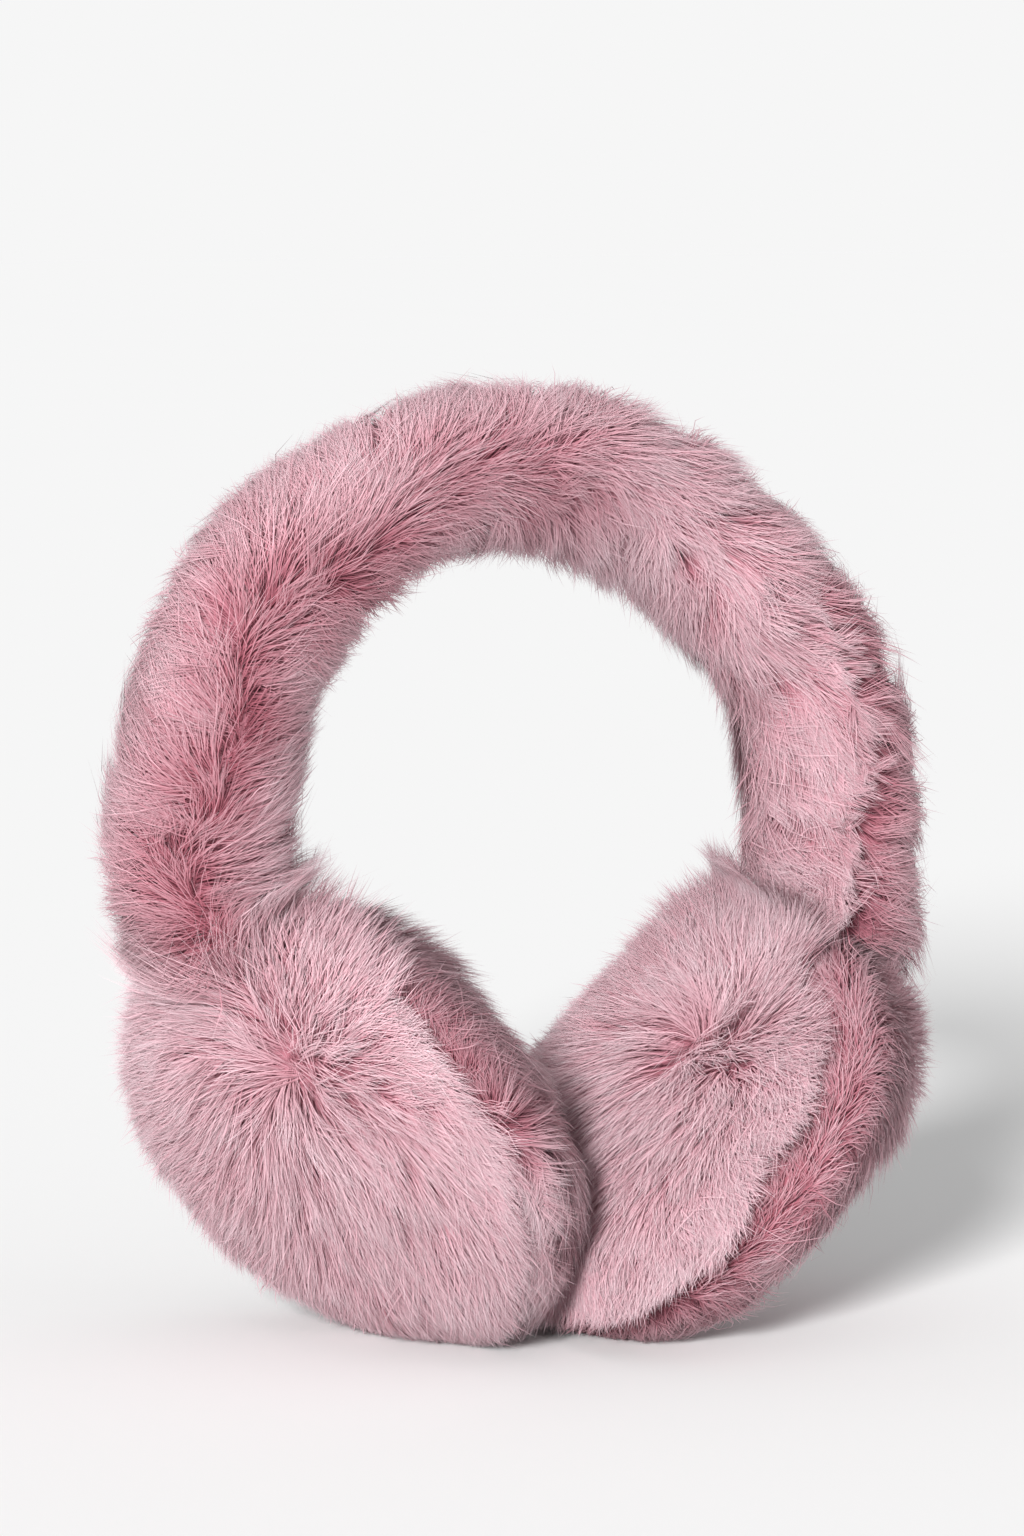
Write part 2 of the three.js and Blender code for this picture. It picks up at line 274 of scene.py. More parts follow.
def on_band(at, angle, height):
    """Places on the band: the share along, the angle round from its outer side, and height over it."""
    at = np.clip(at, 0, 1)
    steps = np.linspace(0, 1, BAND_STEPS + 1)
    line, outer, front = (np.stack([np.interp(at, steps, table[:, i]) for i in range(3)], 1)
                          for table in (band_line, band_outer, band_front))
    top, girth = eased(BAND_GIRTH, at, 1), eased(BAND_GIRTH, at, 2)
    wide = girth * (BAND_LEG_WIDTH * (1 - top) + BAND_TOP_WIDTH * top) / 2 - BAND_FUR
    deep = girth * BAND_DEPTH / 2 - BAND_FUR
    out = outer * np.cos(angle)[:, None] + front * np.sin(angle)[:, None]
    place = line + outer * ((wide + height) * np.cos(angle))[:, None]
    return place + front * ((deep + height) * np.sin(angle))[:, None], out


line_tree = KDTree(len(band_line))
for step, point in enumerate(band_line):
    line_tree.insert(point, step)
line_tree.balance()


def band_place(points):
    """The share along the band and the angle round it of points in space."""
    near = np.array([line_tree.find(point)[1] for point in points], int)
    off = points - band_line[near]
    at = near / BAND_STEPS + dot(off, band_along[near])[:, 0] / BAND_LENGTH
    angle = np.arctan2(dot(off, band_front[near])[:, 0] / (BAND_DEPTH - 2 * BAND_FUR),
                       dot(off, band_outer[near])[:, 0] / (BAND_LEG_WIDTH - 2 * BAND_FUR))
    return at, angle


# %% [markdown]
# ## Skins of the cups
# Under the fur each cup half is a stuffed dome of knitted backing. A ball is cut in half in edit mode,
# its points are pushed to the cup's form, and it is cut flat where it meets the other cup and the
# floor. It lies deeper than the solid's backing, so that the fur has room to stand up from it.

# %% Skins of the cups
BALL_SEGMENTS, BALL_RINGS = 48, 24
SMOOTH_BELOW = math.radians(50)


def new_shape(name):
    shape = bpy.context.object
    shape.name = name
    return shape


def places_of(shape):
    places = np.empty(len(shape.data.vertices) * 3)
    shape.data.vertices.foreach_get("co", places)
    return places.reshape(-1, 3)


def move_to(shape, places):
    shape.data.vertices.foreach_set("co", places.ravel())
    shape.data.update()


def cut_flat(point, away):
    """Cuts off all that lies beyond a plane and closes the cut, in edit mode."""
    bpy.ops.mesh.select_all(action="SELECT")
    bpy.ops.mesh.bisect(plane_co=point, plane_no=away, use_fill=True, clear_outer=True)


def on_dome(cup, facing, ball):
    """Points of a half ball, moved to the form of a cup's skin before it is cut flat."""
    power = 2 / CUP_FULLNESS
    spread = np.linalg.norm(ball[:, :2], axis=1, keepdims=True)
    bearing = ball[:, :2] / np.maximum(spread, 1e-9)
    out = (CUP_RADIUS - SKIN_DEPTH) * np.clip(spread, 0, 1) ** power
    high = (CUP_HALF_HEIGHT - SKIN_DEPTH) * np.clip(ball[:, 2:], 0, 1) ** power + TOUCH_GAP / 2
    return (cup.centre + out * (bearing[:, :1] * cup.side + bearing[:, 1:] * cup.rise)
            + facing * high * cup.axis)


def cup_skin(cup, facing, name):
    bpy.ops.object.select_all(action="DESELECT")
    bpy.ops.mesh.primitive_uv_sphere_add(segments=BALL_SEGMENTS, ring_count=BALL_RINGS, radius=1)
    skin = new_shape(name)
    bpy.ops.object.mode_set(mode="EDIT")
    cut_flat((0, 0, 0), (0, 0, -1))
    bpy.ops.object.mode_set(mode="OBJECT")
    move_to(skin, on_dome(cup, facing, places_of(skin)))
    bpy.ops.object.mode_set(mode="EDIT")
    bpy.ops.mesh.select_all(action="SELECT")
    bpy.ops.mesh.normals_make_consistent(inside=False)
    cut_flat((cup.sign * TOUCH_GAP, 0, 0), (-cup.sign, 0, 0))
    cut_flat((0, 0, 2 * TOUCH_GAP), (0, 0, -1))
    bpy.ops.object.mode_set(mode="OBJECT")
    bpy.ops.object.shade_smooth_by_angle(angle=SMOOTH_BELOW)
    return skin


skins = {}
for name, cup in cups.items():
    for half, facing in (("outer", 1), ("inner", -1)):
        node = f"{name}_cup_{half}"
        skins[node] = cup_skin(cup, facing, f"{node}_skin")
        print(node, "skin:", len(skins[node].data.polygons), "faces")

# %% [markdown]
# ## Skin of the band
# The sleeve is one long stuffed tube. A cylinder is cut across into rings, and the rings are then
# laid along the band's line with its girth, so the sleeve follows the arch exactly.

# %% Skin of the band
BAND_SIDES, BAND_RINGS = 32, 72
SLEEVE_START, SLEEVE_SHARE = 0.03, 0.94


def band_skin(name):
    bpy.ops.object.select_all(action="DESELECT")
    bpy.ops.mesh.primitive_cylinder_add(vertices=BAND_SIDES, radius=1, depth=1, end_fill_type="TRIFAN")
    skin = new_shape(name)
    bpy.ops.object.mode_set(mode="EDIT")
    for ring in range(1, BAND_RINGS):
        bpy.ops.mesh.select_all(action="SELECT")
        bpy.ops.mesh.bisect(plane_co=(0, 0, ring / BAND_RINGS - 0.5), plane_no=(0, 0, 1))
    bpy.ops.object.mode_set(mode="OBJECT")
    tube = places_of(skin)
    angle = np.arctan2(tube[:, 1], tube[:, 0])
    share = np.linalg.norm(tube[:, :2], axis=1)
    at = SLEEVE_START + SLEEVE_SHARE * (tube[:, 2] + 0.5)
    wall, _ = on_band(at, angle, -SKIN_DEPTH * np.ones(len(at)))
    steps = np.linspace(0, 1, BAND_STEPS + 1)
    middle = np.stack([np.interp(at, steps, band_line[:, i]) for i in range(3)], 1)
    move_to(skin, middle + (wall - middle) * share[:, None])
    bpy.ops.object.mode_set(mode="EDIT")
    bpy.ops.mesh.select_all(action="SELECT")
    bpy.ops.mesh.normals_make_consistent(inside=False)
    bpy.ops.object.mode_set(mode="OBJECT")
    bpy.ops.object.shade_smooth_by_angle(angle=SMOOTH_BELOW)
    return skin


skins["band"] = band_skin("band_skin")
print("band skin:", len(skins["band"].data.polygons), "faces")

# %% [markdown]
# ## Colour of the fur
# Each fibre is dark rose in the depth of the pile and pale at its tip, and no two locks have quite the
# same tone. On parts of the pelts the tone also carries painted shade and painted light. One shader group
# turns two numbers into that colour: how far along the fibre a point is, and the tone of the fibre. Both
# are kept in the fur's own map, so the colour stays with the strand.

# %% The fur's shader group and its materials
ROOT_COLOUR = (0.25, 0.065, 0.092, 1)
DEEP_COLOUR = (0.45, 0.175, 0.218, 1)
MIDDLE_COLOUR = (0.585, 0.355, 0.398, 1)
TIP_COLOUR = (0.645, 0.520, 0.552, 1)
DEEPEST_TONE = (0.64, 0.47, 0.50, 1)
PALEST_TONE = (1.24, 1.37, 1.35, 1)
DEEP_AT, MIDDLE_AT = 0.30, 0.68
ROUGH_ROOT, ROUGH_TIP = 0.9, 0.55


def fill_in(node, values):
    for name, value in values.items():
        node.inputs[name].default_value = value


def fur_group():
    group = bpy.data.node_groups.new("fur_tone", "ShaderNodeTree")
    for name in ("Along", "Tone"):
        group.interface.new_socket(name, in_out="INPUT", socket_type="NodeSocketFloat")
    group.interface.new_socket("Colour", in_out="OUTPUT", socket_type="NodeSocketColor")
    group.interface.new_socket("Roughness", in_out="OUTPUT", socket_type="NodeSocketFloat")
    nodes, links = group.nodes, group.links
    given, made = nodes.new("NodeGroupInput"), nodes.new("NodeGroupOutput")
    ramp = nodes.new("ShaderNodeValToRGB")
    ramp.color_ramp.interpolation = "EASE"
    ramp.color_ramp.elements[0].color = ROOT_COLOUR
    ramp.color_ramp.elements[1].color = TIP_COLOUR
    ramp.color_ramp.elements.new(DEEP_AT).color = DEEP_COLOUR
    ramp.color_ramp.elements.new(MIDDLE_AT).color = MIDDLE_COLOUR
    links.new(given.outputs["Along"], ramp.inputs["Fac"])
    strength = nodes.new("ShaderNodeMix")
    strength.data_type = "RGBA"
    fill_in(strength, {"A": DEEPEST_TONE, "B": PALEST_TONE})
    links.new(given.outputs["Tone"], strength.inputs["Factor"])
    shade = nodes.new("ShaderNodeVectorMath")
    shade.operation = "MULTIPLY"
    links.new(ramp.outputs["Color"], shade.inputs[0])
    links.new(strength.outputs["Result"], shade.inputs[1])
    links.new(shade.outputs["Vector"], made.inputs["Colour"])
    rough = nodes.new("ShaderNodeMapRange")
    fill_in(rough, {"To Min": ROUGH_ROOT, "To Max": ROUGH_TIP})
    links.new(given.outputs["Along"], rough.inputs["Value"])
    links.new(rough.outputs["Result"], made.inputs["Roughness"])
    return group


fur_tone = fur_group()


def new_material(name):
    material = bpy.data.materials.new(name)
    material.use_nodes = True
    return material, material.node_tree.nodes, material.node_tree.links


def strand_material():
    material, nodes, links = new_material("fur_fibre")
    shader = nodes["Principled BSDF"]
    fill_in(shader, {"Sheen Weight": 0.14, "Sheen Roughness": 0.5, "Sheen Tint": (0.95, 0.75, 0.8, 1),
                     "Specular IOR Level": 0.25})
    where = nodes.new("ShaderNodeUVMap")
    where.uv_map = "OFBake"
    split = nodes.new("ShaderNodeSeparateXYZ")
    links.new(where.outputs["UV"], split.inputs["Vector"])
    tone = nodes.new("ShaderNodeGroup")
    tone.node_tree = fur_tone
    links.new(split.outputs["X"], tone.inputs["Tone"])
    links.new(split.outputs["Y"], tone.inputs["Along"])
    links.new(tone.outputs["Colour"], shader.inputs["Base Color"])
    links.new(tone.outputs["Roughness"], shader.inputs["Roughness"])
    return material


def skin_material():
    """Knitted backing with short underfur: dark, blotchy and rough."""
    material, nodes, links = new_material("fur_backing")
    shader = nodes["Principled BSDF"]
    place = nodes.new("ShaderNodeTexCoord")
    patches = nodes.new("ShaderNodeTexNoise")
    fill_in(patches, {"Scale": 180, "Detail": 4})
    links.new(place.outputs["Object"], patches.inputs["Vector"])
    knit = nodes.new("ShaderNodeTexVoronoi")
    knit.inputs["Scale"].default_value = 900
    links.new(place.outputs["Object"], knit.inputs["Vector"])
    along = nodes.new("ShaderNodeMapRange")
    fill_in(along, {"To Min": 0.05, "To Max": 0.35})
    links.new(patches.outputs["Fac"], along.inputs["Value"])
    tone = nodes.new("ShaderNodeGroup")
    tone.node_tree = fur_tone
    links.new(along.outputs["Result"], tone.inputs["Along"])
    links.new(patches.outputs["Fac"], tone.inputs["Tone"])
    links.new(tone.outputs["Colour"], shader.inputs["Base Color"])
    links.new(tone.outputs["Roughness"], shader.inputs["Roughness"])
    bump = nodes.new("ShaderNodeBump")
    fill_in(bump, {"Strength": 0.6, "Distance": 0.0006})
    links.new(knit.outputs["Distance"], bump.inputs["Height"])
    links.new(bump.outputs["Normal"], shader.inputs["Normal"])
    return material


fur_fibre = strand_material()
fur_backing = skin_material()
for skin in skins.values():
    skin.data.materials.append(fur_backing)
print("materials:", [m.name for m in (fur_fibre, fur_backing)])

# %% [markdown]
# ## Growing the fur
# Real fur of this kind is fine fibre, about 20 mm long, that stands up from its backing, lies over
# and draws together in locks. Hair particles can't be kept as a plain mesh, so each strand here is a
# narrow tapered ribbon of five or seven points, and a whole pelt is one mesh written from arrays.
# A strand starts at its own root and is drawn towards the line of its lock, more so at the tip.
# Roots are spread over exact grids of the backing, so every run grows the same fur.

# %% How a strand is laid
TONE_WIDTH = 0.012
MAP_EDGE = 0.01
LESS, MORE = slice(None, -1), slice(1, None)


def ripples(points, wavelength, draw, waves=6):
    """A smooth field of bumps over points, mostly between -1 and 1."""
    directions = unit(draw.normal(size=(waves, 3))) * (2 * math.pi / wavelength)
    directions *= draw.uniform(0.7, 1.4, (waves, 1))
    phases = draw.uniform(0, 2 * math.pi, waves)
    return np.sin(points @ directions.T + phases).sum(1) / math.sqrt(waves)


def triangles_between(grid):
    """The triangles of a grid of points, (row, column, 3), as three arrays of corners."""
    a, b, c, d = (grid[rows, columns].reshape(-1, 3)
                  for rows, columns in ((LESS, LESS), (MORE, LESS), (MORE, MORE), (LESS, MORE)))
    return np.vstack([a, a]), np.vstack([b, c]), np.vstack([c, d])


def roots_on(triangles, count, draw):
    """Places spread evenly over triangles, by their area."""
    a, b, c = triangles
    edge = np.cumsum(np.linalg.norm(np.cross(b - a, c - a), axis=1))
    pick = np.searchsorted(edge, (np.arange(count) + draw.random(count)) / count * edge[-1])
    pick = np.clip(pick, 0, len(a) - 1)
    s, t = np.sqrt(draw.random((count, 1))), draw.random((count, 1))
    return a[pick] * (1 - s) + b[pick] * (s * (1 - t)) + c[pick] * (s * t)


def nearest(points, centres):
    """For each point, the number of the centre nearest to it."""
    tree = KDTree(len(centres))
    for i, centre in enumerate(centres):
        tree.insert(centre, i)
    tree.balance()
    return np.array([tree.find(point)[1] for point in points])


def strand_mesh(name, fibre, centres, outwards, widths, rolls, tones, pales):
    """One mesh of ribbons that end in a point. centres and outwards are (ring, strand, 3)."""
    count, last = len(widths), len(fibre.rings) - 1
    along = unit(np.gradient(centres, axis=0))
    across = unit(np.cross(outwards, along))
    lifted = np.cross(along, across)
    across = across * np.cos(rolls)[:, None] + lifted * np.sin(rolls)[:, None]
    points = 2 * last + 1
    places = np.empty((count, points, 3), np.float32)
    for ring, width in enumerate(fibre.ring_widths):
        half = across[ring] * (widths * width / 2)[:, None]
        places[:, 2 * ring] = centres[ring] - half
        places[:, 2 * ring + 1] = centres[ring] + half
    places[:, -1] = centres[-1]
    corners = np.concatenate([(2 * i, 2 * i + 2, 2 * i + 3, 2 * i + 1) for i in range(last - 1)]
                             + [(2 * last - 2, 2 * last, 2 * last - 1)])
    starts = np.arange(last) * 4
    each = np.arange(count)[:, None]
    mesh = bpy.data.meshes.new(name)
    mesh.vertices.add(count * points)
    mesh.vertices.foreach_set("co", places.ravel())
    mesh.loops.add(count * len(corners))
    mesh.loops.foreach_set("vertex_index", (each * points + corners).astype(np.int32).ravel())
    mesh.polygons.add(count * last)
    mesh.polygons.foreach_set("loop_start", (each * len(corners) + starts).astype(np.int32).ravel())
    mesh.update(calc_edges=True)
    mesh.shade_smooth()
    ring_of = np.minimum(np.arange(points) // 2, last)
    facing = unit(np.cross(along, across))
    normals = unit(facing * (1 - fibre.softness) + outwards * fibre.softness)
    mesh.normals_split_custom_set_from_vertices(normals[ring_of].transpose(1, 0, 2).reshape(-1, 3))
    edge_of = np.append(np.arange(points - 1) % 2, 0.5)
    uv = np.empty((count, len(corners), 2), np.float32)
    uv[..., 0] = tones[:, None] * (1 - TONE_WIDTH) + edge_of[corners] * TONE_WIDTH
    share = np.array(fibre.rings)[ring_of][corners]
    uv[..., 1] = (share + (1 - share) * pales[:, None]) * (1 - 2 * MAP_EDGE) + MAP_EDGE
    layer = mesh.uv_layers.new(name="OFBake", do_init=False)
    layer.uv.foreach_set("vector", uv.ravel())
    mesh.materials.append(fur_fibre)
    piece = bpy.data.objects.new(name, mesh)
    bpy.context.collection.objects.link(piece)
    return piece


# %% [markdown]
# ## Locks, fine fibre and strays
# A pelt looks real when it has fine fibre that fills the pile, longer guard hair that draws together in
# locks with soft points, and among both a few strays that go their own way. The fine fibre and the
# guard hair share their locks. All are drawn from seeded numbers, so they come out the same.
# A strand that the joint of band and cup would tear out to twice its length is cut away.

# %% How a pelt grows
TURN_SIZE = 38 * MM
PATCH_SIZE = 24 * MM
TUFT_SIZE = 20 * MM
LONGEST_STRAND = 46 * MM
BEND_HALF_WAVES = 1.1
STRAY_TOGETHER, STRAY_VEER, STRAY_TONE = 0.1, 0.32, 0.05
VEER = 0.10
STRAY_LIFT = 2.2 * MM
UPRIGHT_LIFT = (1.0 * MM, 4.5 * MM)

# Where the pile is higher or lower: x, y, z, spread and height, all in millimetres.
SWELLS = np.array([
    (102, -5, 80, 13, 9), (-104, 2, 76, 16, 6), (57, -5, 112, 14, 7), (-60, 0, 108, 11, 4),
    (-44, 8, 106, 13, 7), (36, 27, 73, 16, -7), (-26, -20, 79, 14, -3), (58, -44, 29, 18, -8),
    (-58, 33, 24, 18, -2), (-40, -5, 94, 12, 4), (-78, 33, 71, 16, 4), (80, -30, 69, 12, 4),
    (56, 4, 91, 12, 3), (12, -20, 6, 16, 5), (4, -4, 8, 13, 6), (-97, -3, 158, 18, -4),
    (44, 0, 222, 20, -3), (60, -10, 158, 14, -3), (-38, -10, 184, 14, -3), (-8, -10, 192, 14, 3),
    (12, -10, 190, 14, 2.5)])


def swell(points):
    """Extra height of the pile where the band runs into the cups, and less between the cups."""
    extra = np.zeros(len(points))
    for *middle, spread, height in SWELLS:
        away = np.linalg.norm(points / MM - middle, axis=1) / spread
        extra += height * MM * np.exp(-away ** 2 / 2)
    return extra


class Locks:
    """The locks of one pelt: where each starts, which way it lies and what sets it apart."""

    def __init__(self, pelt, surface, starts, seed):
        draw = np.random.default_rng(seed)
        count = len(starts)
        self.starts, self.where = starts, surface.coordinates(starts)
        flow, side = surface.flow(self.where, draw)
        turn = ripples(starts, TURN_SIZE, draw) * pelt.turning + draw.normal(0, 0.12, count)
        turn = turn[:, None]
        self.flow = flow * np.cos(turn) + side * np.sin(turn)
        self.side = side * np.cos(turn) - flow * np.sin(turn)
        uneven = ripples(starts, PATCH_SIZE, draw)
        self.extra = swell(starts) + surface.extra(self.where)
        self.upright = surface.upright(self.where)
        self.length = pelt.length * np.clip(1 + 0.08 * uneven + draw.normal(0, 0.09, count), 0.6, 1.3)
        relief = surface.relief(self.where) * ripples(starts, TUFT_SIZE, draw)
        self.lift = pelt.lift * np.clip(1 + relief + draw.normal(0, 0.15, count), 0.2, 2.0)
        self.sway = pelt.sway * draw.normal(0, 1, count)
        self.phase = draw.uniform(0, math.pi, count)
        self.gather = surface.gather(self.where)
        self.pale = surface.pale(self.where)
        # The surface's part of the tone is painted shade and painted light; the rest differs at random by
        # lock.
        self.tone = surface.tone(self.where) + 0.07 * draw.normal(size=count) + 0.06 * uneven


def grow(name, fibre, surface, roots, locks, seed):
    """Grows one kind of fibre from roots, over a surface that lays points on the backing."""
    draw = np.random.default_rng(seed)
    count = len(roots)
    lock = nearest(roots, locks.starts)
    stray = draw.random(count) < fibre.stray_share
    gather = np.where(stray, STRAY_TOGETHER, fibre.draw_together * locks.gather[lock])
    gather *= draw.uniform(0.7, 1.15, count)
    upright = locks.upright[lock]
    length = locks.length[lock] * fibre.reach * draw.uniform(0.74, 1.06, count) * (1 - 0.7 * upright)
    lift = locks.lift[lock] * draw.uniform(0.7, 1.2, count) + locks.extra[lock]
    lift += upright * draw.uniform(*UPRIGHT_LIFT, count)
    lift += np.where(stray, draw.uniform(0, STRAY_LIFT, count), 0)
    lift -= fibre.sink
    veer = draw.normal(0, np.where(stray, STRAY_VEER, VEER) + 0.5 * upright, count)
    flow = locks.flow[lock] + locks.side[lock] * veer[:, None]
    offset = surface.apart(surface.coordinates(roots), locks.where[lock])
    length = surface.trim(locks.where[lock] + offset, flow, length, lift)
    phase = locks.phase[lock]
    centres, outwards = [], []
    for ring in fibre.rings:
        bend = locks.sway[lock] * (np.sin(ring * math.pi * BEND_HALF_WAVES + phase) - np.sin(phase))
        where = (locks.where[lock] + offset * (1 - gather * ring ** 1.3)[:, None]
                 + flow * (length * ring)[:, None] + locks.side[lock] * bend[:, None])
        rise = -SKIN_DEPTH * (1 - ring) ** 1.5 + lift * ring ** 0.8
        place, outward = surface.lay(where, rise)
        centres.append(place)
        outwards.append(outward)
    widths = fibre.width * draw.uniform(0.7, 1.15, count)
    rolls = draw.normal(0, 0.4, count)
    # The locks' tones carry their painted shade and painted light; each strand adds a random tone of its
    # own.
    tones = locks.tone[lock] + 0.07 * draw.normal(size=count) + np.where(stray, STRAY_TONE, 0)
    tones = np.clip(tones + fibre.tone, 0.01, 0.98)
    centres, outwards = np.array(centres), np.array(outwards)
    drawn = np.linalg.norm(np.diff(centres, axis=0), axis=2).sum(0)
    kept = drawn < LONGEST_STRAND
    piece = strand_mesh(name, fibre, centres[:, kept], outwards[:, kept],
                        widths[kept], rolls[kept], tones[kept], locks.pale[lock][kept])
    print(name, kept.sum(), "strands,", kept.sum() * (2 * len(fibre.rings) - 3), "triangles,",
          count - kept.sum(), "torn ones cut away")
    return piece


class FineFibre:
    rings = (0.0, 0.5, 1.0)
    ring_widths = (0.9, 0.85)
    width = 0.25 * MM
    reach = 0.92
    sink = 0.8 * MM
    draw_together = 0.35
    stray_share = 0.08
    tone = -0.04
    softness = 0.82


class GuardHair:
    rings = (0.0, 0.34, 0.68, 1.0)
    ring_widths = (0.8, 1.0, 0.7)
    width = 0.25 * MM
    reach = 1.02
    sink = 0.0
    draw_together = 0.65
    stray_share = 0.12
    tone = 0.05
    softness = 0.76


class EvenPelt:
    """What a surface says of its fur, where it has nothing else to say."""

    def gather(self, where):
        return np.ones(len(where))

    def pale(self, where):
        return np.zeros(len(where))


FIBRES = (("fur", FineFibre), ("guard_hair", GuardHair))

# %% [markdown]
# ## Fur of the cups
# On each face the fur lies away from one point, its whorl, and hangs a little. No tip reaches over the
# parting beside the seam. The near half stands proud there. The far half is short, with painted shade
# that deepens its tone towards the parting, and its fur stands up, but low down on the left cup it runs
# into the fur of the near half, where painted light makes it paler. Where a cup rests on the floor or
# meets the other cup, its fur is pressed flat.

# %% Fur of the cups
# How far along the cup's side and up its face each whorl lies, in radii.
WHORLS = {"left_cup_outer": (0.11, 0.56), "left_cup_inner": (0.0, 0.20),
          "right_cup_outer": (0.0, 0.20), "right_cup_inner": (-0.27, 0.26)}
CUP_STRANDS = {"fur": 33000, "guard_hair": 9000}
CUP_LOCKS = 2600
FAR_HALVES = ("left_cup_inner", "right_cup_outer")
JOINED_BELOW = {"left_cup_inner": 52 * MM}
NEVER_JOINED = -1
JOINING = 16 * MM
WHORL_REACH = 11 * MM
WHORL_RUFFLE = 4.5 * MM
WHORL_CURL = 0.9
HANG = np.array((0, 0, -0.22))
CREASE = 1.5 * MM
MEETING_MIX = 4.0 * MM
MEETING_PRESS = 3 * MM
FLOOR_LIFT = 0.5 * MM
FLOOR_PRESS = 16 * MM
BAND_END = 0.003
DOME_GRID = (97, 33)
TRIM_TRIES, TRIM_SHARE = 8, 0.8


class CupPelt:
    length = 21 * MM
    lift = 4.0 * MM
    sway = 1.2 * MM
    turning = 0.28


def beside_band(at):
    """Whether a share along the band is between its ends, and not past them."""
    return (at > BAND_END) & (at < 1 - BAND_END)


def held_off_floor(places, outward, height):
    """Presses fur that would sink into the floor back towards its skin, and then straight up."""
    low = np.maximum(FLOOR_LIFT - places[:, 2], 0)
    back = np.minimum(low / np.maximum(-outward[:, 2], 0.25), np.maximum(height + SKIN_DEPTH, 0))
    places = places - outward * back[:, None]
    places[:, 2] = np.maximum(places[:, 2], FLOOR_LIFT * (0.6 + 0.4 * np.sin(places[:, 0] / MM * 9)))
    return places


